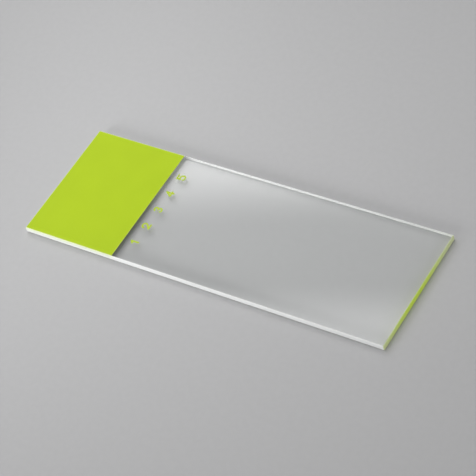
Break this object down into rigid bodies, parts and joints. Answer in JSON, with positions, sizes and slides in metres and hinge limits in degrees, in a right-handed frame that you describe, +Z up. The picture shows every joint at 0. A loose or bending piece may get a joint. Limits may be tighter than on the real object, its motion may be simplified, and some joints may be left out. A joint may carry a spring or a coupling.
{
  "type": "microscope slide",
  "caption": "Clear glass microscope slide with ground edges, a lime writing panel baked on one end and a row of small plain digits beside it.",
  "frame": {"origin": "centre of the slide's underside, in the plane that it lies on", "axes": "+X along the length, from the coated end to the bare end; +Y across the width, from the first digit to the last; +Z up through the thickness, out of the coated face"},
  "size_m": [0.075, 0.025, 0.0011],
  "materials": {
    "clear_glass": "colourless, fire-polished faces, matt white ground edges",
    "lime_ink": "baked screen ink, satin, opaque lime"
  },
  "bodies": {
    "root": {"glass_plate": "clear_glass", "colour_coat": "lime_ink", "printed_digits": "lime_ink"}
  },
  "joints": []
}
